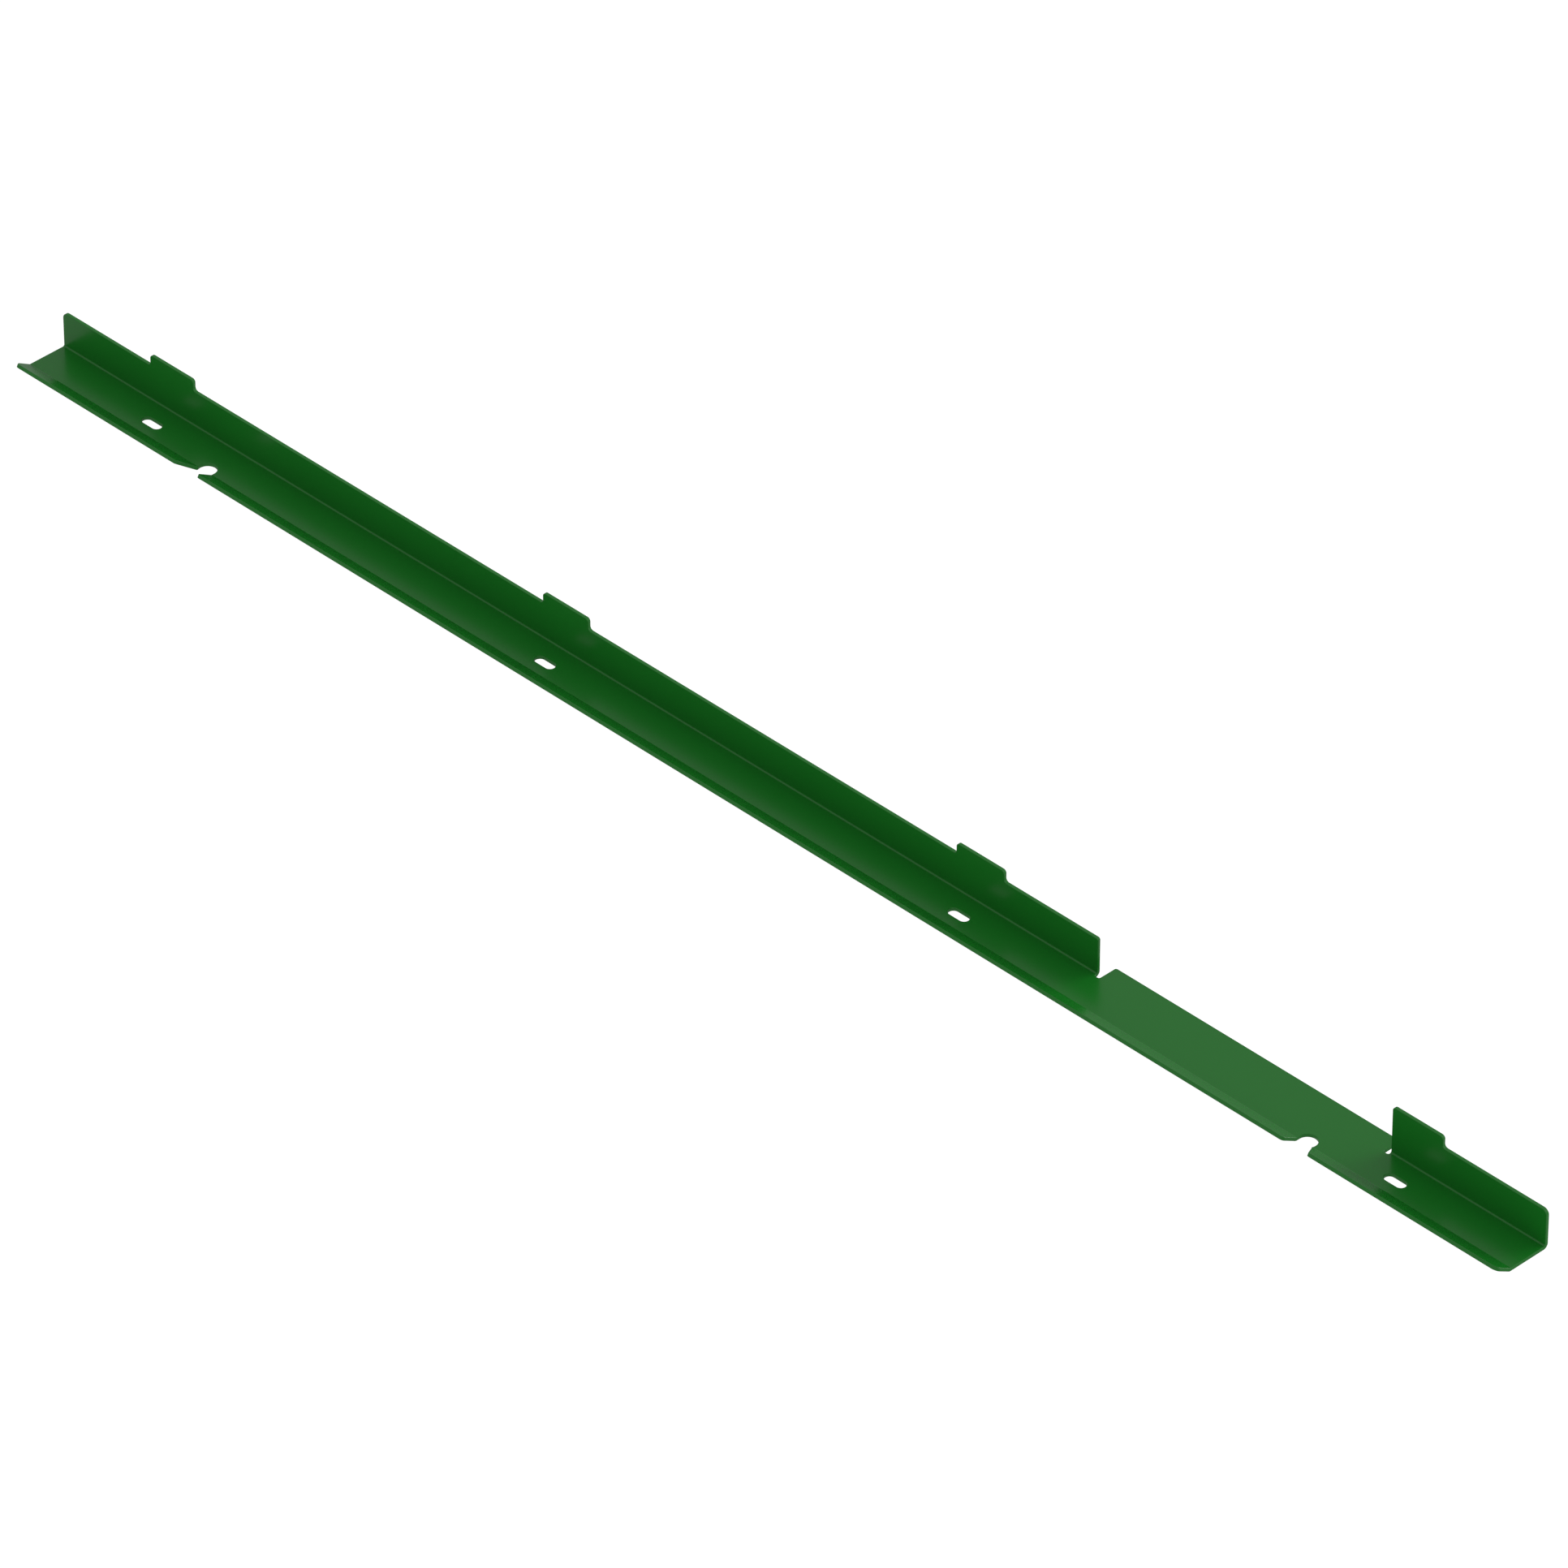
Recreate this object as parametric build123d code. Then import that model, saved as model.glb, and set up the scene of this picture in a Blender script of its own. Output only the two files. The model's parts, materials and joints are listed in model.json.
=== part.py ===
"""Straight guide rail for machinery, folded from one strip of sheet steel.

The rail is a single cut and bent blank. A flat web lies on the machine and is bolted down through
four slots. A flange stands along the web's back edge and rises to a taller tab beside each slot.
Part of the flange is left out, and there the web runs on behind the flange as a flat tongue. A low
lip is folded up along the front edge, and two notches cross it.

Frame, in millimetres: X runs along the rail, +Y points from the lip to the flange, +Z is up. The
origin is at mid-length, on the slots' centre line, on the web's underside.
"""

import math
import os

from build123d import *

# Sheet and bends
SHEET = 3.0
INSIDE_BEND_RADIUS = 1.5
OUTSIDE_BEND_RADIUS = INSIDE_BEND_RADIUS + SHEET

# Overall sizes, measured over the outside of the folds
LENGTH = 1600.0
FLANGE_HEIGHT = 35.0
WEB_DEPTH = 40.25  # flange's outer face to the lip fold's outer corner
LIP_LENGTH = 17.75  # lip fold's outer corner to the lip's edge, along the underside
LIP_ANGLE = 30.0  # above the web

# Bolt slots in the web, in one line along the rail
SLOT_COUNT = 4
SLOT_FROM_END = 128.0  # outermost slots' centres to the rail's ends
SLOT_WIDTH = 9.0
SLOT_LENGTH = 20.0
SLOT_TO_FLANGE = 25.0  # slots' centre line to the flange's outer face

# Tabs, one beside each slot
TAB_HEIGHT = 45.0
TAB_WIDTH = 50.0

# Stretch without a flange, ending at the last tab's near edge
GAP_WIDTH = 300.0
TONGUE_REACH = 12.0  # tongue's back edge behind the flange's outer face
RELIEF_WIDTH = 5.0  # bend relief at each end of the gap
RELIEF_PAST_BEND = 1.5  # how far each relief runs into the web, past the flange's fold

# Lip notches, one near each end, mirror images of each other
NOTCH_FROM_END = 205.0  # scoop's centre to the rail's end
SCOOP_RADIUS = 8.0
SCOOP_INSET = 3.0  # scoop's centre behind the lip fold's inner corner
NOTCH_FLARE = 30.0  # slant of the notch's outward side

# Corner radii in the blank
END_RADIUS = 5.0
TAB_RADIUS = 3.0
NOTCH_RADIUS = 3.0
GAP_RADIUS = 2.0

# Places worked out from the sizes above
end_x = LENGTH / 2
flange_back = SLOT_TO_FLANGE
flange_front = flange_back - SHEET
bend_front = flange_back - OUTSIDE_BEND_RADIUS  # where the web's flat ends and its fold begins
slot_pitch = (LENGTH - 2 * SLOT_FROM_END) / (SLOT_COUNT - 1)
slot_x = [(i - (SLOT_COUNT - 1) / 2) * slot_pitch for i in range(SLOT_COUNT)]
gap_end = slot_x[-1] - TAB_WIDTH / 2
gap_start = gap_end - GAP_WIDTH
tongue_start = gap_start + RELIEF_WIDTH
tongue_end = gap_end - RELIEF_WIDTH
relief_x = (gap_start + RELIEF_WIDTH / 2, gap_end - RELIEF_WIDTH / 2)
relief_round_y = bend_front - RELIEF_PAST_BEND + RELIEF_WIDTH / 2  # centre of each relief's round end
notch_x = end_x - NOTCH_FROM_END
fold_setback = SHEET * math.tan(math.radians(LIP_ANGLE / 2))  # outer to inner fold corner
fold_y = flange_back - WEB_DEPTH + fold_setback  # lip fold's inner corner
inner_lip = LIP_LENGTH - fold_setback
tab_corner = min(TAB_RADIUS, 0.45 * (TAB_HEIGHT - FLANGE_HEIGHT))  # two of them share a tab's side
CLEAR = 1.0  # how far a cutter runs past what it cuts

# Along the lip's upper face, X runs along the rail and Y runs from the fold to the lip's edge
lip_plane = Plane(
    origin=(0, fold_y, SHEET),
    x_dir=(-1, 0, 0),
    z_dir=(0, math.sin(math.radians(LIP_ANGLE)), math.cos(math.radians(LIP_ANGLE))),
)


def corners(sketch, places):
    """Return the sketch's vertices nearest to the (x, y) places."""
    return [sketch.vertices().sort_by_distance((x, y))[0] for x, y in places]


def span(x_min, x_max, y_min, y_max):
    """Return a rectangle between two X values and two Y values."""
    return Pos((x_min + x_max) / 2, (y_min + y_max) / 2) * Rectangle(x_max - x_min, y_max - y_min)


def folded_strip():
    """Return the rail's section run along its whole length, at the tabs' height."""
    run, rise = math.cos(math.radians(LIP_ANGLE)), math.sin(math.radians(LIP_ANGLE))
    fold_corner = (flange_back - WEB_DEPTH, 0)
    edge_under = (fold_corner[0] - LIP_LENGTH * run, LIP_LENGTH * rise)
    edge_top = (edge_under[0] + SHEET * rise, edge_under[1] + SHEET * run)
    outer_corners = [(flange_back, 0), fold_corner]
    inner_corners = [(fold_y, SHEET), (flange_front, SHEET)]
    section = make_face(
        Polyline(
            (flange_back, TAB_HEIGHT),
            *outer_corners,
            edge_under,
            edge_top,
            *inner_corners,
            (flange_front, TAB_HEIGHT),
            close=True,
        )
    )
    section = fillet(corners(section, outer_corners), OUTSIDE_BEND_RADIUS)
    section = fillet(corners(section, inner_corners), INSIDE_BEND_RADIUS)
    return extrude(Plane.YZ * section, amount=end_x, both=True)


def flange_outline():
    """Return the flange seen from behind: X along the rail, Y up."""
    outline = span(-end_x, gap_start, 0, FLANGE_HEIGHT) + span(gap_end, end_x, 0, FLANGE_HEIGHT)
    for x in slot_x:
        outline += span(x - TAB_WIDTH / 2, x + TAB_WIDTH / 2, 0, TAB_HEIGHT)
    tab_sides = [x + side * TAB_WIDTH / 2 for x in slot_x for side in (-1, 1)]
    tab_tops = [(x, TAB_HEIGHT) for x in tab_sides]
    tab_feet = [(x, FLANGE_HEIGHT) for x in tab_sides if x != gap_end]
    outline = fillet(corners(outline, tab_tops + tab_feet), tab_corner)
    ends = [(-end_x, FLANGE_HEIGHT), (end_x, FLANGE_HEIGHT)]
    outline = fillet(corners(outline, ends), END_RADIUS)
    return fillet(corners(outline, [(gap_start, FLANGE_HEIGHT)]), GAP_RADIUS)


def lip_outline():
    """Return the lip laid flat in lip_plane, notched and with its corners rounded."""
    outline = span(-end_x, end_x, 0, inner_lip)
    half_mouth = math.sqrt(SCOOP_RADIUS**2 - SCOOP_INSET**2)  # scoop's half width at the fold
    flare = inner_lip * math.tan(math.radians(NOTCH_FLARE))
    inward = notch_x - SCOOP_RADIUS
    outward = notch_x + half_mouth
    for side in (-1, 1):
        outline -= make_face(
            Polyline(
                (side * inward, 0),
                (side * outward, 0),
                (side * (outward + flare), inner_lip),
                (side * inward, inner_lip),
                close=True,
            )
        )
    ends = [(side * end_x, inner_lip) for side in (-1, 1)]
    mouths = [(side * x, inner_lip) for side in (-1, 1) for x in (inward, outward + flare)]
    outline = fillet(corners(outline, ends), END_RADIUS)
    return fillet(corners(outline, mouths), NOTCH_RADIUS)


def web_cuts():
    """Return what is cut straight down through the web and the lip's fold: slots and scoops."""
    cuts = [Pos(x, 0) * SlotOverall(SLOT_LENGTH, SLOT_WIDTH) for x in slot_x]
    half_mouth = math.sqrt(SCOOP_RADIUS**2 - SCOOP_INSET**2)
    past_fold = fold_y - SHEET * math.tan(math.radians(LIP_ANGLE))  # clear of the fold's underside
    for side in (-1, 1):
        x = side * notch_x
        cuts.append(Pos(x, fold_y + SCOOP_INSET) * Circle(SCOOP_RADIUS))
        near, far = sorted((x - side * SCOOP_RADIUS, x + side * half_mouth))
        cuts.append(span(near, far, past_fold, fold_y + SCOOP_INSET))
    return Pos(0, 0, -CLEAR) * extrude(Sketch() + cuts, amount=SHEET + 2 * CLEAR)


def bend_reliefs():
    """Return the round-ended cuts that free the flange's fold at both ends of the gap."""
    half = RELIEF_WIDTH / 2
    cuts = []
    for x in relief_x:
        cuts.append(Pos(x, relief_round_y) * Circle(half))
        cuts.append(span(x - half, x + half, relief_round_y, flange_back + TONGUE_REACH + CLEAR))
    return Pos(0, 0, -CLEAR) * extrude(Sketch() + cuts, amount=OUTSIDE_BEND_RADIUS + 2 * CLEAR)


def tongue():
    """Return the flat stretch that runs on behind the flange's line, rooted in the web."""
    back_y = flange_back + TONGUE_REACH
    outline = span(tongue_start, tongue_end, bend_front - SHEET, back_y)
    outline = fillet(corners(outline, [(tongue_start, back_y), (tongue_end, back_y)]), GAP_RADIUS)
    outline += span(*relief_x, bend_front - SHEET, relief_round_y)
    return extrude(outline, amount=SHEET)


def guide_rail():
    """Return the whole rail as one folded solid."""
    rail = folded_strip()

    # Trim the flange to its outline, and clear its fold away where the tongue goes.
    around_flange = span(-end_x - CLEAR, end_x + CLEAR, OUTSIDE_BEND_RADIUS, TAB_HEIGHT + CLEAR)
    flange_trim = Plane.XZ.offset(-flange_back - CLEAR) * (around_flange - flange_outline())
    rail -= extrude(flange_trim, amount=SHEET + 2 * CLEAR)
    fold = span(*relief_x, bend_front, flange_back + CLEAR)
    rail -= Pos(0, 0, -CLEAR) * extrude(fold, amount=OUTSIDE_BEND_RADIUS + 2 * CLEAR)
    rail += tongue()
    rail -= bend_reliefs()

    # Trim the lip to its outline, square to its own face.
    around_lip = span(-end_x - CLEAR, end_x + CLEAR, 0, inner_lip + CLEAR)
    lip_trim = lip_plane * (around_lip - lip_outline())
    rail -= extrude(lip_trim, amount=-SHEET - CLEAR) + extrude(lip_trim, amount=CLEAR)

    rail -= web_cuts()
    return rail.clean()


os.makedirs("parts", exist_ok=True)
rail = guide_rail()
rail.label = "guide_rail"
export_step(rail, "parts/guide_rail.step")
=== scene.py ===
"""Looks of a straight guide rail, folded from one strip of sheet steel and painted dark green.

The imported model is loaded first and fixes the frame. The visible rail is then made the way the real one
is: a flat web is folded up into a flange at the back and a lip at the front, given its thickness, cut
for bolts and neighbours, and rounded along its edges by its coat of paint.
"""

import json
import logging
import math
from collections.abc import Callable, Iterable
from dataclasses import dataclass, field
from enum import Enum

import bmesh
import bpy
from mathutils import Matrix, Vector


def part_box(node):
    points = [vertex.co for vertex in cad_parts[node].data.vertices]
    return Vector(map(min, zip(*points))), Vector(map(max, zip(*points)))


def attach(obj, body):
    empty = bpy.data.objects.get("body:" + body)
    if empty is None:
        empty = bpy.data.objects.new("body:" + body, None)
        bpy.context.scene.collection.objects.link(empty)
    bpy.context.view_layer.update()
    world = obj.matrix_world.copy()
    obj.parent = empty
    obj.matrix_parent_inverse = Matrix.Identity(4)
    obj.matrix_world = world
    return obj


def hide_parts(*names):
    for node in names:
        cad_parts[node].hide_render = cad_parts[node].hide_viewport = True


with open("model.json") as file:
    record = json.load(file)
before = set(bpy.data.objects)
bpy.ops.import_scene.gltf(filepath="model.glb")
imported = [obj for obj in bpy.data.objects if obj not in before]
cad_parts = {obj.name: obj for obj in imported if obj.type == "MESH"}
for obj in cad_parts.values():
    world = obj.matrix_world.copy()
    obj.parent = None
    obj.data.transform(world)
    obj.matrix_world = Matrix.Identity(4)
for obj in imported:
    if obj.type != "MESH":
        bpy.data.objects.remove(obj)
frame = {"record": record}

log = logging.getLogger("guide_rail_scene")

NODE = "guide_rail"
BODY = "root"
SHARP_ANGLE = 25.0  # degrees; a fold's strips and a round cut's sides meet at less
FLAT_ANGLE = 0.05  # degrees; faces that meet at less are one flat face
SAME_PLACE = 0.02  # millimetres; points and lines as close as this are meant to be one
PLANE_REACH = 1e-6  # metres; how near a cutting plane a point counts as on it

Place = tuple[float, float, float]


def mm(value: float) -> float:
    """Return millimetres as metres."""
    return value / 1000


def linear(hex_colour: str) -> tuple[float, float, float, float]:
    """Turn an sRGB hex colour into the linear colour that shaders take.

    Args:
        hex_colour: Six hex digits, with or without a leading hash.

    Returns:
        Linear red, green and blue, and an alpha of 1.
    """
    digits = hex_colour.lstrip("#")
    channels = [int(digits[i : i + 2], 16) / 255 for i in (0, 2, 4)]
    red, green, blue = (c / 12.92 if c <= 0.04045 else ((c + 0.055) / 1.055) ** 2.4 for c in channels)
    return red, green, blue, 1.0


class Element(Enum):
    """What an edit-mode selection is made of."""

    VERTEX = "VERT"
    EDGE = "EDGE"
    FACE = "FACE"


def start_piece(name: str) -> bpy.types.Object:
    """Name the primitive that was just added, and enter edit mode on it.

    Args:
        name: The piece's name, which its mesh takes as well.

    Returns:
        The primitive, in edit mode, with nothing else selected.
    """
    piece = bpy.context.object
    piece.name = piece.data.name = name
    bpy.ops.object.transform_apply(location=True, rotation=True, scale=True)
    bpy.ops.object.mode_set(mode="EDIT")
    return piece


def pick(piece: bpy.types.Object, kind: Element, test: Callable[[Vector], bool]) -> int:
    """Select, in edit mode, the elements whose middle passes a test, and nothing else.

    Args:
        piece: The mesh object being edited.
        kind: Which elements to look at.
        test: Tells whether an element with this middle, in metres, is wanted.

    Returns:
        How many elements were selected.
    """
    bpy.ops.mesh.select_mode(type=kind.value)
    bpy.ops.mesh.select_all(action="DESELECT")
    shape = bmesh.from_edit_mesh(piece.data)
    if kind is Element.VERTEX:
        found = [v for v in shape.verts if test(v.co)]
    elif kind is Element.EDGE:
        found = [e for e in shape.edges if test((e.verts[0].co + e.verts[1].co) / 2)]
    else:
        found = [f for f in shape.faces if test(f.calc_center_median())]
    for element in found:
        element.select_set(True)
    bmesh.update_edit_mesh(piece.data)
    return len(found)


def near(value: float, wanted: float) -> bool:
    """Tell whether two lengths in metres are meant to be the same."""
    return abs(value - wanted) < mm(SAME_PLACE)


def cut_line(x: float) -> None:
    """Cut the edited mesh straight across the rail, at a place along it in millimetres."""
    bpy.ops.mesh.select_all(action="SELECT")
    bpy.ops.mesh.bisect(plane_co=(mm(x), 0, 0), plane_no=(1, 0, 0), threshold=PLANE_REACH)


def apply_modifiers(piece: bpy.types.Object) -> None:
    """Apply every modifier of a piece in order, in object mode."""
    bpy.ops.object.select_all(action="DESELECT")
    piece.select_set(True)
    bpy.context.view_layer.objects.active = piece
    for modifier in list(piece.modifiers):
        bpy.ops.object.modifier_apply(modifier=modifier.name)


@dataclass
class GuideRail:
    """The folded rail: web, flange with its tabs, tongue and lip, in one sheet. Sizes in millimetres."""

    low: Vector
    high: Vector
    slot_places: list[float]
    slot_length: float
    slot_width: float

    sheet: float = 3.0
    outer_bend: float = 4.5
    flange_height: float = 35.0
    flange_back: float = 25.0
    web_depth: float = 40.25
    lip_length: float = 17.75
    lip_angle: float = 30.0

    tab_width: float = 50.0
    tab_radius: float = 3.0
    end_radius: float = 5.0

    gap_width: float = 300.0
    gap_radius: float = 2.0
    relief_width: float = 5.0
    relief_past_bend: float = 1.5

    notch_from_end: float = 205.0
    scoop_radius: float = 8.0
    scoop_inset: float = 3.0
    notch_flare: float = 30.0
    notch_radius: float = 3.0

    edge_radius: float = 0.4  # what deburring and the coat of paint leave of a sheared edge
    clear: float = 1.0
    weld: float = 0.07
    flange_steps: int = 16
    lip_steps: int = 6
    arc_steps: int = 10
    edge_steps: int = 3

    end: float = field(init=False)
    tab_height: float = field(init=False)
    tongue_back: float = field(init=False)
    bend_front: float = field(init=False)
    gap: tuple[float, float] = field(init=False)
    notch: float = field(init=False)

    def __post_init__(self) -> None:
        """Work out the places that follow from the sizes."""
        self.end = self.high.x * 1000
        self.tab_height = self.high.z * 1000
        self.tongue_back = self.high.y * 1000
        self.bend_front = self.flange_back - self.outer_bend
        gap_end = self.slot_places[-1] - self.tab_width / 2
        self.gap = (gap_end - self.gap_width, gap_end)
        self.notch = self.end - self.notch_from_end

    @property
    def lip_setback(self) -> float:
        """Distance from the lip fold's outer corner to where its bend begins."""
        return self.outer_bend * math.tan(math.radians(self.lip_angle) / 2)

    @property
    def web_front(self) -> float:
        """Where the web's flat underside ends and the lip's fold begins."""
        return self.flange_back - self.web_depth + self.lip_setback

    @property
    def fold_y(self) -> float:
        """The lip fold's inner corner."""
        return self.flange_back - self.web_depth + self.sheet * math.tan(math.radians(self.lip_angle) / 2)

    @property
    def tongue(self) -> tuple[float, float]:
        """The tongue's two ends along the rail."""
        return self.gap[0] + self.relief_width, self.gap[1] - self.relief_width

    def build(self) -> bpy.types.Object:
        """Model the rail.

        Returns:
            The finished rail at the origin, with no modifiers left on it.
        """
        rail = self.lay_web()
        self.fold_flange(rail)
        self.outline_flange(rail)
        self.fold_lip(rail)
        self.outline_lip(rail)
        self.thicken(rail)
        self.divide()
        self.cut(rail, [*self.slots(), *self.notches()])
        self.round_edges(rail)
        return rail

    def lay_web(self) -> bpy.types.Object:
        """Lay the flat web and its tongue, as the sheet's underside."""
        bpy.ops.object.select_all(action="DESELECT")
        middle = (self.web_front + self.bend_front) / 2
        bpy.ops.mesh.primitive_plane_add(size=1, location=(0, mm(middle), 0))
        bpy.context.object.scale = (mm(2 * self.end), mm(self.bend_front - self.web_front), 1)
        rail = start_piece("folded_rail")
        for x in (*self.gap, *self.tongue):
            cut_line(x)
        self.cut_reliefs(rail)
        back = mm(self.bend_front)
        start, stop = (mm(x) for x in self.tongue)
        pick(rail, Element.EDGE, lambda p: near(p.y, back) and start < p.x < stop)
        reach = mm(self.tongue_back - self.bend_front)
        bpy.ops.mesh.extrude_region_move(TRANSFORM_OT_translate={"value": (0, reach, 0)})
        self.round_corners(rail, [(x, self.tongue_back, 0) for x in self.tongue], self.gap_radius)
        return rail

    def cut_reliefs(self, rail: bpy.types.Object) -> None:
        """Cut a round-cornered bite into the web between the flange and each end of the tongue."""
        bottom = mm(self.bend_front - self.relief_past_bend)
        bites = [sorted(sides) for sides in zip(self.gap, self.tongue)]

        def in_bite(point: Vector) -> bool:
            """Tell whether a point is between the flange's end and the tongue's."""
            return any(mm(start) < point.x < mm(stop) for start, stop in bites)

        pick(rail, Element.FACE, in_bite)
        bpy.ops.mesh.bisect(plane_co=(0, bottom, 0), plane_no=(0, 1, 0), threshold=PLANE_REACH)
        pick(rail, Element.FACE, lambda p: in_bite(p) and p.y > bottom)
        bpy.ops.mesh.delete(type="FACE")
        self.join_flat(rail, lambda p: True)
        corners = [(x, self.bend_front - self.relief_past_bend, 0) for x in (*self.gap, *self.tongue)]
        self.round_corners(rail, corners, self.relief_past_bend)
        self.weld_points()

    def weld_points(self) -> None:
        """Join, in edit mode, the points that lie so close together that no tool could have cut them."""
        bpy.ops.mesh.select_all(action="SELECT")
        bpy.ops.mesh.remove_doubles(threshold=mm(self.weld))

    def fold_flange(self, rail: bpy.types.Object) -> None:
        """Fold the flange up along the web's back edge, on both sides of the gap."""
        back = mm(self.bend_front)
        start, stop = (mm(x) for x in self.gap)
        pick(rail, Element.EDGE, lambda p: near(p.y, back) and not start < p.x < stop)
        self.fold(self.bend_front, math.pi / 2, self.flange_steps)
        rise = mm(self.tab_height - self.outer_bend)
        bpy.ops.mesh.extrude_region_move(TRANSFORM_OT_translate={"value": (0, 0, rise)})

    def fold(self, y: float, angle: float, steps: int) -> None:
        """Turn the selected edge up about a line along the rail, as a press brake does.

        Args:
            y: Where the bend begins, in millimetres.
            angle: How far it turns, about +X, in radians.
            steps: How many flat strips stand for the bend.
        """
        centre = (0, mm(y), mm(self.outer_bend))
        # The operator counts a turn about +X as negative.
        bpy.ops.mesh.spin(steps=steps, angle=-angle, center=centre, axis=(1, 0, 0))

    def outline_flange(self, rail: bpy.types.Object) -> None:
        """Cut the flange down between its tabs, and round its corners."""
        half = self.tab_width / 2
        sides = [x + side * half for x in self.slot_places for side in (-1, 1)]
        for x in sides:
            self.cut_flange(rail, (x, 0, 0), (1, 0, 0))
        self.cut_flange(rail, (0, 0, self.flange_height), (0, 0, 1))

        def between_tabs(point: Vector) -> bool:
            """Tell whether a point is above the flange and beside its tabs."""
            outside = all(abs(point.x - mm(x)) > mm(half) for x in self.slot_places)
            return point.z > mm(self.flange_height) and outside

        pick(rail, Element.FACE, between_tabs)
        bpy.ops.mesh.delete(type="FACE")
        self.join_flat(rail, lambda p: near(p.y, mm(self.flange_back)) and p.z > mm(self.outer_bend))
        tops = [(x, self.flange_back, self.tab_height) for x in sides]
        feet = [(x, self.flange_back, self.flange_height) for x in sides if x != self.gap[1]]
        self.round_corners(rail, tops + feet, self.tab_radius)
        ends = [(x, self.flange_back, self.flange_height) for x in (-self.end, self.end)]
        self.round_corners(rail, ends, self.end_radius)
        self.round_corners(rail, [(self.gap[0], self.flange_back, self.flange_height)], self.gap_radius)

    def cut_flange(self, rail: bpy.types.Object, point: Place, normal: Place) -> None:
        """Cut the flange's flat face alone along a plane.

        Args:
            rail: The mesh object being edited.
            point: A point on the plane, in millimetres.
            normal: The plane's normal.
        """
        pick(rail, Element.FACE, lambda p: near(p.y, mm(self.flange_back)) and p.z > mm(self.outer_bend))
        bpy.ops.mesh.bisect(plane_co=Vector(point) / 1000, plane_no=normal, threshold=PLANE_REACH)

    def join_flat(self, rail: bpy.types.Object, test: Callable[[Vector], bool]) -> None:
        """Join the flat faces that pass a test into as few as will hold them."""
        pick(rail, Element.FACE, test)
        bpy.ops.mesh.dissolve_limited(angle_limit=math.radians(FLAT_ANGLE), delimit=set())

    def round_corners(self, sheet: bpy.types.Object, places: Iterable[Place], radius: float) -> None:
        """Round corners of a flat outline.

        Args:
            sheet: The mesh object being edited.
            places: The corners, in millimetres.
            radius: The corners' radius, in millimetres.
        """
        corners = [Vector(place) / 1000 for place in places]
        found = pick(sheet, Element.VERTEX, lambda p: any((p - c).length < mm(SAME_PLACE) for c in corners))
        if found != len(corners):
            log.warning("%d of %d corners found for radius %g", found, len(corners), radius)
        bpy.ops.mesh.bevel(offset=mm(radius), segments=self.arc_steps, profile=0.5, affect="VERTICES")

    def fold_lip(self, rail: bpy.types.Object) -> None:
        """Fold the lip up along the web's front edge."""
        self.join_flat(rail, lambda p: near(p.z, 0))
        front = mm(self.web_front)
        pick(rail, Element.EDGE, lambda p: near(p.y, front) and near(p.z, 0))
        angle = math.radians(self.lip_angle)
        self.fold(self.web_front, -angle, self.lip_steps)
        reach = mm(self.lip_length - self.lip_setback)
        step = (0, -reach * math.cos(angle), reach * math.sin(angle))
        bpy.ops.mesh.extrude_region_move(TRANSFORM_OT_translate={"value": step})

    def outline_lip(self, rail: bpy.types.Object) -> None:
        """Round the lip's corners at the rail's two ends."""
        angle = math.radians(self.lip_angle)
        reach = self.lip_length - self.lip_setback
        across = self.web_front - self.outer_bend * math.sin(angle) - reach * math.cos(angle)
        up = self.outer_bend * (1 - math.cos(angle)) + reach * math.sin(angle)
        self.round_corners(rail, [(x, across, up) for x in (-self.end, self.end)], self.end_radius)

    def thicken(self, rail: bpy.types.Object) -> None:
        """Give the sheet its thickness, towards the inside of both folds."""
        bpy.ops.mesh.select_all(action="SELECT")
        bpy.ops.mesh.normals_make_consistent(inside=False)
        shape = bmesh.from_edit_mesh(rail.data)
        web = max(shape.faces, key=lambda face: face.calc_area() * abs(face.normal.z))
        if web.normal.z > 0:
            bpy.ops.mesh.flip_normals()
        bpy.ops.object.mode_set(mode="OBJECT")
        solid = rail.modifiers.new("sheet", "SOLIDIFY")
        solid.thickness = mm(self.sheet)
        solid.offset = -1
        solid.use_even_offset = True
        apply_modifiers(rail)

    def divide(self) -> None:
        """Divide the sheet at each slot and scoop, so that a hole is tied squarely to the outline."""
        bpy.ops.object.mode_set(mode="EDIT")
        for x in (*self.slot_places, -self.notch, self.notch):
            cut_line(x)
        bpy.ops.object.mode_set(mode="OBJECT")

    def slots(self) -> list[bpy.types.Object]:
        """Return a cutter for each bolt slot: a plate with half-round ends."""
        cutters = []
        for x in self.slot_places:
            cutter = self.blank(x, 0, self.slot_length, self.slot_width)
            half, wide = self.slot_length / 2, self.slot_width / 2
            corners = [(x + side * half, end * wide, 0) for side in (-1, 1) for end in (-1, 1)]
            self.round_corners(cutter, corners, self.slot_width / 2)
            cutters.append(self.raise_cutter(cutter, self.sheet))
        return cutters

    def blank(self, x: float, y: float, length: float, width: float) -> bpy.types.Object:
        """Start a cutter as a flat rectangle on the web's underside.

        Args:
            x: Its middle along the rail, in millimetres.
            y: Its middle across the rail, in millimetres.
            length: Its size along the rail, in millimetres.
            width: Its size across the rail, in millimetres.

        Returns:
            The rectangle, in edit mode.
        """
        bpy.ops.object.select_all(action="DESELECT")
        bpy.ops.mesh.primitive_plane_add(size=1, location=(mm(x), mm(y), 0))
        bpy.context.object.scale = (mm(length), mm(width), 1)
        return start_piece("cutter")

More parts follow.
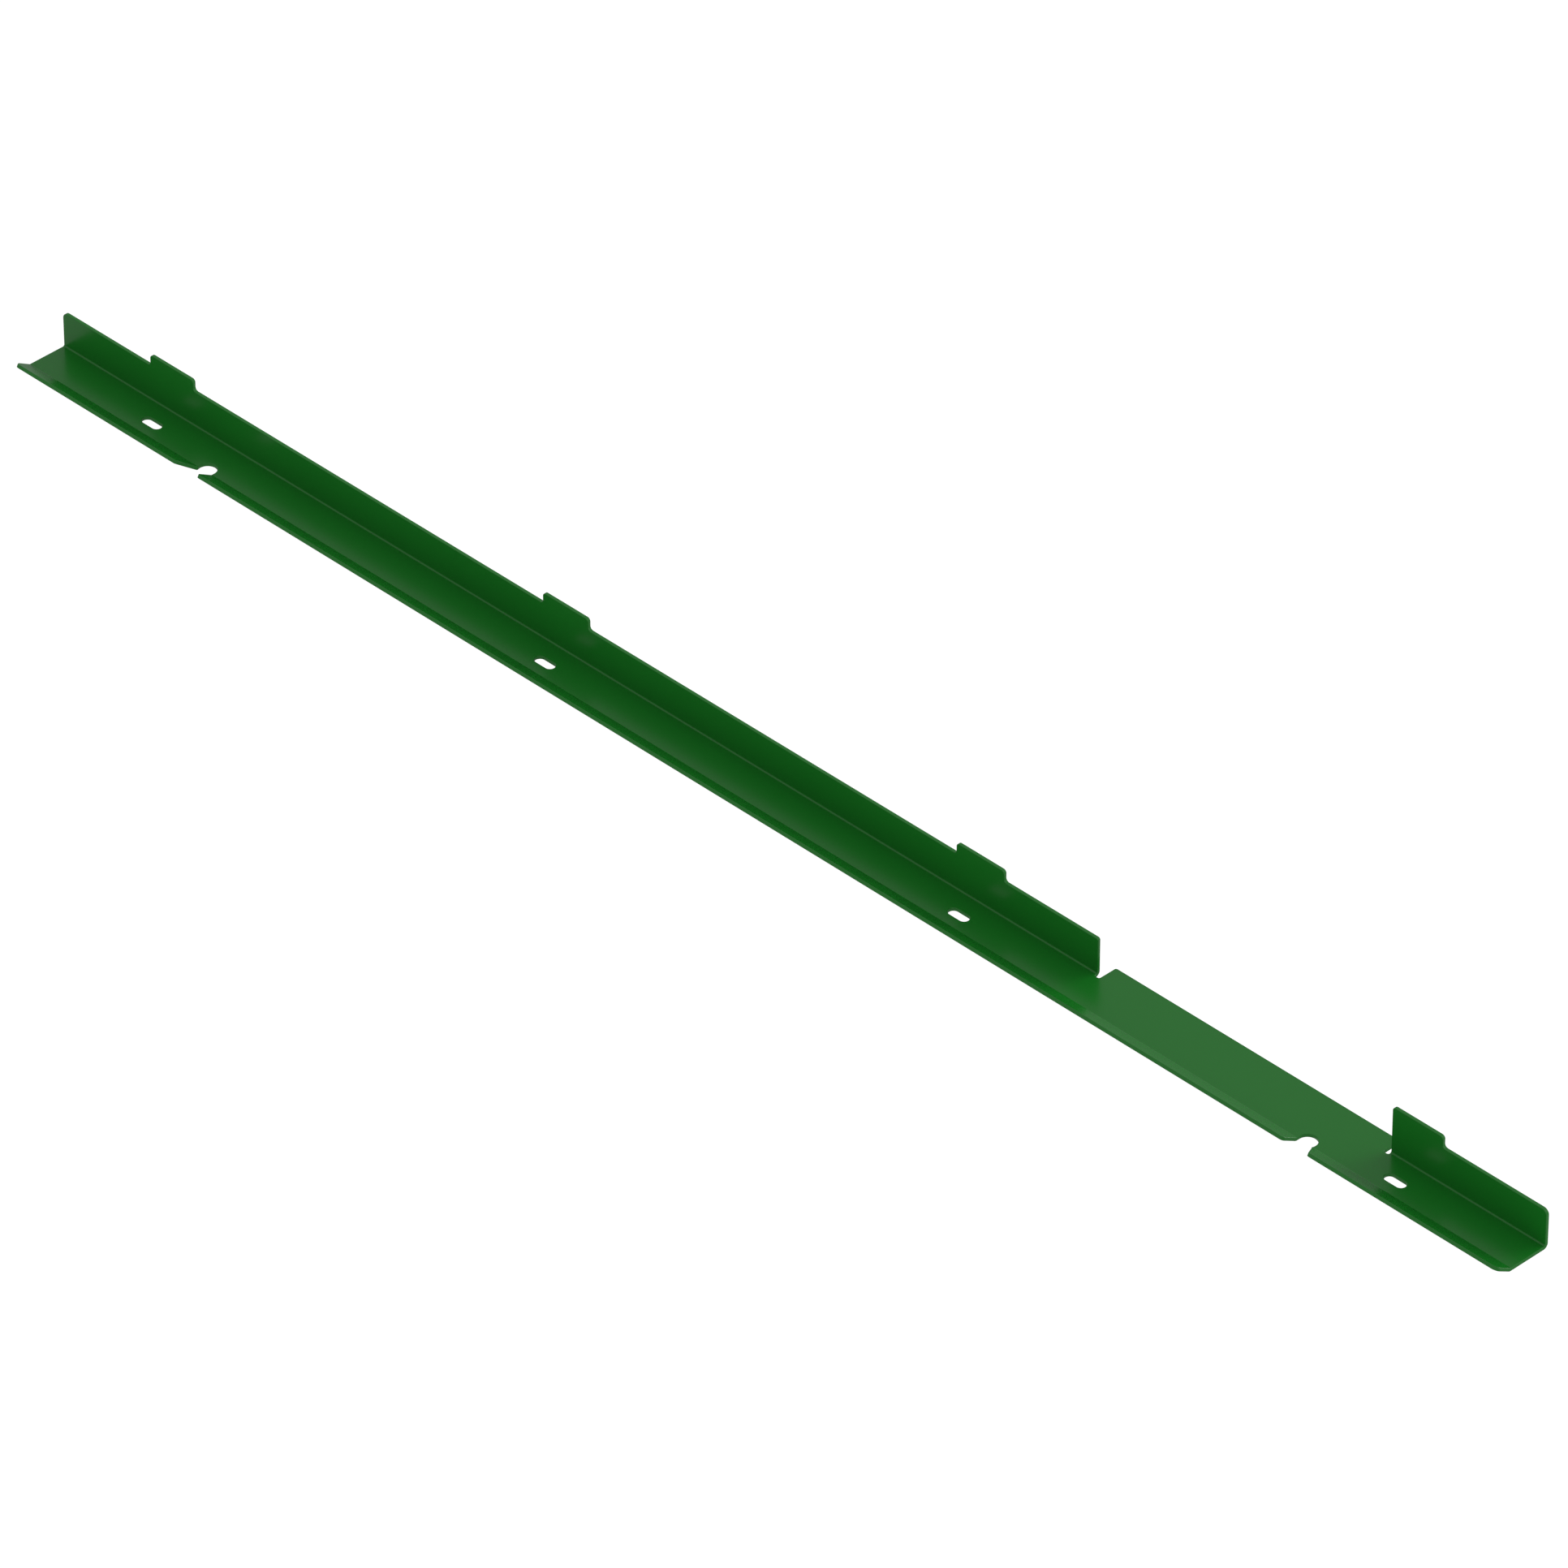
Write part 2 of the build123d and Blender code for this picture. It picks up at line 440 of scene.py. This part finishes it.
    def raise_cutter(self, cutter: bpy.types.Object, height: float) -> bpy.types.Object:
        """Make a closed cutter from a flat one, standing clear of what it cuts.

        Args:
            cutter: The flat cutter, in edit mode.
            height: The height of what it cuts, in millimetres.

        Returns:
            The cutter, in object mode.
        """
        bpy.ops.mesh.select_all(action="SELECT")
        bpy.ops.transform.translate(value=(0, 0, -mm(self.clear)))
        rise = mm(height + 2 * self.clear)
        bpy.ops.mesh.extrude_region_move(TRANSFORM_OT_translate={"value": (0, 0, rise)})
        bpy.ops.mesh.select_all(action="SELECT")
        bpy.ops.mesh.normals_make_consistent(inside=False)
        bpy.ops.object.mode_set(mode="OBJECT")
        return cutter

    def notches(self) -> list[bpy.types.Object]:
        """Return the cutters for both notches: a round scoop at the fold, and a mouth across the lip."""
        cutters = []
        middle = self.fold_y + self.scoop_inset
        mouth = math.sqrt(self.scoop_radius**2 - self.scoop_inset**2)
        past_fold = self.fold_y - self.sheet * math.tan(math.radians(self.lip_angle))
        for side in (-1, 1):
            x = side * self.notch
            cutters.append(self.round_cutter(x, middle, self.scoop_radius, self.sheet))
            near_x, far_x = sorted((x - side * self.scoop_radius, x + side * mouth))
            width = middle - past_fold
            cutter = self.blank((near_x + far_x) / 2, middle - width / 2, far_x - near_x, width)
            cutters.append(self.raise_cutter(cutter, self.sheet))
            cutters.append(self.mouth_cutter(side))
        return cutters

    def round_cutter(self, x: float, y: float, radius: float, height: float) -> bpy.types.Object:
        """Return an upright round cutter through the web.

        Args:
            x: Its axis along the rail, in millimetres.
            y: Its axis across the rail, in millimetres.
            radius: Its radius, in millimetres.
            height: The height of what it cuts, in millimetres.

        Returns:
            The cutter, in object mode.
        """
        bpy.ops.object.select_all(action="DESELECT")
        sides = 4 * self.arc_steps
        bpy.ops.mesh.primitive_circle_add(
            vertices=sides, radius=mm(radius), fill_type="NGON", location=(mm(x), mm(y), 0)
        )
        return self.raise_cutter(start_piece("cutter"), height)

    def mouth_cutter(self, side: int) -> bpy.types.Object:
        """Return a cutter for a notch's mouth, square on its inward side and slanted on the other.

        Args:
            side: Which end of the rail it is near, -1 or 1.

        Returns:
            The cutter, laid on the lip's slope, in object mode.
        """
        mouth = math.sqrt(self.scoop_radius**2 - self.scoop_inset**2)
        inner_lip = self.lip_length - self.sheet * math.tan(math.radians(self.lip_angle) / 2)
        flare = inner_lip * math.tan(math.radians(self.notch_flare))
        inward = side * (self.notch - self.scoop_radius)
        outward = side * (self.notch + mouth + flare)
        wide = abs(outward - inward)
        # The notch is drawn flat, running from the fold to the lip's edge, and is then turned up.
        cutter = self.blank((inward + outward) / 2, -inner_lip / 2, wide, inner_lip)
        corner = Vector((mm(outward), 0, 0))
        pick(cutter, Element.VERTEX, lambda p: (p - corner).length < mm(SAME_PLACE))
        bpy.ops.transform.translate(value=(-side * mm(flare), 0, 0))
        self.flare_mouth(cutter, side, inward, outward, inner_lip)
        bpy.ops.mesh.select_all(action="SELECT")
        bpy.ops.transform.translate(value=(0, 0, -mm(self.sheet + self.clear)))
        deep = mm(self.sheet + 2 * self.clear)
        bpy.ops.mesh.extrude_region_move(TRANSFORM_OT_translate={"value": (0, 0, deep)})
        bpy.ops.mesh.select_all(action="SELECT")
        bpy.ops.mesh.normals_make_consistent(inside=False)
        bpy.ops.object.mode_set(mode="OBJECT")
        turn = Matrix.Rotation(-math.radians(self.lip_angle), 4, "X")
        cutter.matrix_world = Matrix.Translation((0, mm(self.fold_y), mm(self.sheet))) @ turn
        bpy.ops.object.transform_apply(location=True, rotation=True, scale=True)
        return cutter

    def flare_mouth(
        self, cutter: bpy.types.Object, side: int, inward: float, outward: float, edge: float
    ) -> None:
        """Round a notch's two corners at the lip's edge outwards, so that the lip's corners are round.

        Args:
            cutter: The flat notch, in edit mode.
            side: Which end of the rail it is near, -1 or 1.
            inward: Its square side along the rail, in millimetres.
            outward: Its slanted side at the lip's edge, in millimetres.
            edge: How far the lip's edge is from the fold, in millimetres.
        """
        pick(cutter, Element.EDGE, lambda p: near(p.y, -mm(edge)))
        bpy.ops.mesh.extrude_region_move(TRANSFORM_OT_translate={"value": (0, -mm(self.clear), 0)})
        room = self.notch_radius + self.clear
        for x, sign in ((inward, -side), (outward, side)):
            pick(cutter, Element.EDGE, lambda p, x=x: near(p.x, mm(x)) and p.y < -mm(edge))
            bpy.ops.mesh.extrude_region_move(TRANSFORM_OT_translate={"value": (sign * mm(room), 0, 0)})
        self.join_flat(cutter, lambda p: True)
        turn = math.radians(90 - self.notch_flare)
        self.round_corners(cutter, [(inward, -edge, 0)], self.notch_radius)
        self.round_corners(cutter, [(outward, -edge, 0)], self.notch_radius * math.tan(turn / 2))

    def cut(self, rail: bpy.types.Object, cutters: list[bpy.types.Object]) -> None:
        """Cut the rail with each cutter in turn, and clear the cutters away."""
        for cutter in cutters:
            hole = rail.modifiers.new("cut", "BOOLEAN")
            hole.operation = "DIFFERENCE"
            hole.solver = "EXACT"
            hole.object = cutter
            apply_modifiers(rail)
            bpy.data.objects.remove(cutter)
        bpy.ops.object.mode_set(mode="EDIT")
        self.weld_points()
        bpy.ops.object.mode_set(mode="OBJECT")

    def round_edges(self, rail: bpy.types.Object) -> None:
        """Round every sheared edge, and smooth the folds."""
        edges = rail.modifiers.new("edges", "BEVEL")
        edges.width = mm(self.edge_radius)
        edges.segments = self.edge_steps
        edges.limit_method = "ANGLE"
        edges.angle_limit = math.radians(SHARP_ANGLE)
        edges.use_clamp_overlap = False
        normals = rail.modifiers.new("normals", "WEIGHTED_NORMAL")
        normals.keep_sharp = False
        bpy.ops.object.select_all(action="DESELECT")
        rail.select_set(True)
        bpy.context.view_layer.objects.active = rail
        bpy.ops.object.shade_smooth()
        apply_modifiers(rail)


def add_node(
    tree: bpy.types.NodeTree,
    kind: str,
    settings: dict[str, object] | None = None,
    **links: bpy.types.NodeSocket,
) -> bpy.types.Node:
    """Add a node with its settings and links.

    Args:
        tree: The node tree to add it to.
        kind: The node's type name.
        settings: Values by socket or property name.
        links: Output sockets by the input they go to, with underscores for spaces.

    Returns:
        The node.
    """
    node = tree.nodes.new(kind)
    for name, value in (settings or {}).items():
        if name in node.inputs:
            node.inputs[name].default_value = value
        else:
            setattr(node, name, value)
    for name, source in links.items():
        tree.links.new(source, node.inputs[name.replace("_", " ")])
    return node


def empty_material(name: str) -> tuple[bpy.types.Material, bpy.types.NodeTree]:
    """Return a new material with no nodes in it, and its tree."""
    material = bpy.data.materials.new(name)
    material.use_nodes = True
    material.node_tree.nodes.clear()
    return material, material.node_tree


@dataclass(frozen=True)
class MachineEnamel:
    """Green machine enamel, sprayed on sheet steel and stoved: it flows out level over the metal."""

    # A deep green with a satin gloss. It mirrors its surroundings softly where it is seen at a low angle,
    # and its colour drifts a little from one pass of the spray gun to the next, about a hand's width apart.
    colour: str = "#0E6818"
    shaded_colour: str = "#0D6517"
    spray_pass: float = 60.0
    roughness: float = 0.26
    roughness_spread: float = 0.02
    ior: float = 1.5
    # Orange peel, the faint dimpling that sprayed paint dries with, is long and shallow on a stoved enamel.
    peel_size: float = 7.0
    peel_height: float = 0.004
    peel_strength: float = 0.3

    def material(self) -> bpy.types.Material:
        """Return the enamel as a material on Object coordinates."""
        material, tree = empty_material("green_machine_enamel")
        place = add_node(tree, "ShaderNodeTexCoord").outputs["Object"]
        drift = {"Scale": 1 / mm(self.spray_pass), "Detail": 3.0}
        passes = add_node(tree, "ShaderNodeTexNoise", drift, Vector=place).outputs["Fac"]
        colour = add_node(tree, "ShaderNodeMix", {"data_type": "RGBA"})
        # The Mix node's colour sockets share their names with its others, so they are told by number.
        colour.inputs[6].default_value = linear(self.shaded_colour)
        colour.inputs[7].default_value = linear(self.colour)
        tree.links.new(passes, colour.inputs[0])
        limits = {
            "To Min": self.roughness - self.roughness_spread,
            "To Max": self.roughness + self.roughness_spread,
        }
        gloss = add_node(tree, "ShaderNodeMapRange", limits, Value=passes).outputs["Result"]
        dimples = {"Scale": 1 / mm(self.peel_size), "Detail": 1.0}
        peel = add_node(tree, "ShaderNodeTexNoise", dimples, Vector=place).outputs["Fac"]
        relief = {"Strength": self.peel_strength, "Distance": mm(self.peel_height)}
        surface = add_node(tree, "ShaderNodeBump", relief, Height=peel).outputs["Normal"]
        paint = add_node(
            tree,
            "ShaderNodeBsdfPrincipled",
            {"IOR": self.ior},
            Base_Color=colour.outputs[2],
            Roughness=gloss,
            Normal=surface,
        )
        add_node(tree, "ShaderNodeOutputMaterial", Surface=paint.outputs["BSDF"])
        return material


@dataclass(frozen=True)
class SoftWhite:
    """A glow that looks white and lights evenly, but is dimmer in the gloss, so that colours stay deep."""

    glow: float
    mirrored: float

    def strength(self, tree: bpy.types.NodeTree) -> bpy.types.NodeSocket:
        """Add the nodes that set the glow's strength by the kind of ray that meets it.

        Args:
            tree: The node tree to add them to.

        Returns:
            The strength's socket.
        """
        ray = add_node(tree, "ShaderNodeLightPath").outputs
        limits = {"To Min": self.glow, "To Max": self.mirrored}
        lit = add_node(tree, "ShaderNodeMapRange", limits, Value=ray["Is Glossy Ray"])
        seen = add_node(tree, "ShaderNodeMath", {"operation": "MAXIMUM"})
        tree.links.new(lit.outputs["Result"], seen.inputs[0])
        tree.links.new(ray["Is Camera Ray"], seen.inputs[1])
        return seen.outputs["Value"]


@dataclass(frozen=True)
class LightTable:
    """White translucent sheet lit from below, so that what lies on it throws almost no shadow."""

    # It glows as brightly as the surround, but is a dim grey to other lights, so that they mark no shadow.
    white: SoftWhite = SoftWhite(glow=0.83, mirrored=0.28)
    colour: str = "#454545"

    def material(self) -> bpy.types.Material:
        """Return the table's surface as a material."""
        material, tree = empty_material("white_light_table")
        matt = add_node(tree, "ShaderNodeBsdfDiffuse", {"Color": linear(self.colour)})
        glow = add_node(tree, "ShaderNodeEmission", Strength=self.white.strength(tree))
        both = add_node(tree, "ShaderNodeAddShader")
        tree.links.new(matt.outputs["BSDF"], both.inputs[0])
        tree.links.new(glow.outputs["Emission"], both.inputs[1])
        add_node(tree, "ShaderNodeOutputMaterial", Surface=both.outputs["Shader"])
        return material


@dataclass(frozen=True)
class Studio:
    """The pale floor, the soft light and the camera. Lengths in metres."""

    floor_size: float = 120.0
    floor_gap: float = 0.00005
    surround: SoftWhite = SoftWhite(glow=0.83, mirrored=0.43)
    key_strength: float = 1.48
    key_spread: float = 40.0
    key_from: Place = (0.3, 0.9, 0.345)

    camera_azimuth: float = 45.62
    camera_elevation: float = 36.51
    camera_distance: float = 9.8025
    camera_target: Place = (0.0165, 0.0207, 0.0037)
    lens: float = 297.8  # millimetres, as is the sensor
    sensor: float = 36.0
    reach: float = 1000.0

    def set_up(self) -> None:
        """Make the floor, the light and the camera."""
        self.lay_floor()
        self.light_surround()
        self.hang_key()
        self.place_camera()
        bpy.context.scene.view_settings.view_transform = "Standard"

    def lay_floor(self) -> None:
        """Lay the floor just under the rail."""
        bpy.ops.object.select_all(action="DESELECT")
        bpy.ops.mesh.primitive_plane_add(size=self.floor_size, location=(0, 0, -self.floor_gap))
        floor = bpy.context.object
        floor.name = "floor"
        floor.data.materials.append(LightTable().material())

    def light_surround(self) -> None:
        """Light the rail evenly from all round, against a backdrop as white as the floor."""
        world = bpy.data.worlds.new("surround")
        world.use_nodes = True
        tree = world.node_tree
        tree.nodes.clear()
        even = add_node(tree, "ShaderNodeBackground", Strength=self.surround.strength(tree))
        even.inputs["Color"].default_value = linear("#FFFFFF")
        add_node(tree, "ShaderNodeOutputWorld", Surface=even.outputs["Background"])
        bpy.context.scene.world = world

    def hang_key(self) -> None:
        """Hang one large soft light behind, a little to the right."""
        lamp = bpy.data.lights.new("key", "SUN")
        lamp.energy = self.key_strength
        lamp.angle = math.radians(self.key_spread)
        key = bpy.data.objects.new("key", lamp)
        key.rotation_mode = "QUATERNION"
        key.rotation_quaternion = Vector(self.key_from).to_track_quat("Z", "Y")
        bpy.context.scene.collection.objects.link(key)

    def place_camera(self) -> None:
        """Aim a long lens down at the rail from the front right."""
        lens = bpy.data.cameras.new("camera")
        lens.lens = self.lens
        lens.sensor_width = self.sensor
        lens.clip_end = self.reach
        camera = bpy.data.objects.new("camera", lens)
        turn, tilt = math.radians(self.camera_azimuth), math.radians(self.camera_elevation)
        back = Vector((math.sin(turn) * math.cos(tilt), -math.cos(turn) * math.cos(tilt), math.sin(tilt)))
        camera.location = Vector(self.camera_target) + self.camera_distance * back
        camera.rotation_mode = "QUATERNION"
        camera.rotation_quaternion = back.to_track_quat("Z", "Y")
        bpy.context.scene.collection.objects.link(camera)
        bpy.context.scene.camera = camera


def slot_places(record: dict) -> tuple[list[float], float, float]:
    """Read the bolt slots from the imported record.

    Args:
        record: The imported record, whose inline mounts hold the slots two by two.

    Returns:
        The slots' places along the rail, their length and their width, in millimetres.
    """
    patterns = [mount["dims"] for mount in record["mounts"] if mount["kind"] == "bolt_pattern"]
    places = sorted(side * dims["spacing_x_mm"] / 2 for dims in patterns for side in (-1, 1))
    return places, patterns[0]["slot_length_mm"], 2 * patterns[0]["hole_r_mm"]


def main() -> None:
    """Build the rail, dress it, and set up the studio."""
    logging.basicConfig(level=logging.INFO, format="%(message)s")
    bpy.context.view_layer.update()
    low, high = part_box(NODE)
    rail = GuideRail(low, high, *slot_places(frame["record"])).build()
    rail.data.materials.append(MachineEnamel().material())
    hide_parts(NODE)
    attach(rail, BODY)
    log.info("%s: %d faces", rail.name, len(rail.data.polygons))
    Studio().set_up()
    log.info("studio: floor, surround, key and camera")


if __name__ == "__main__":
    main()
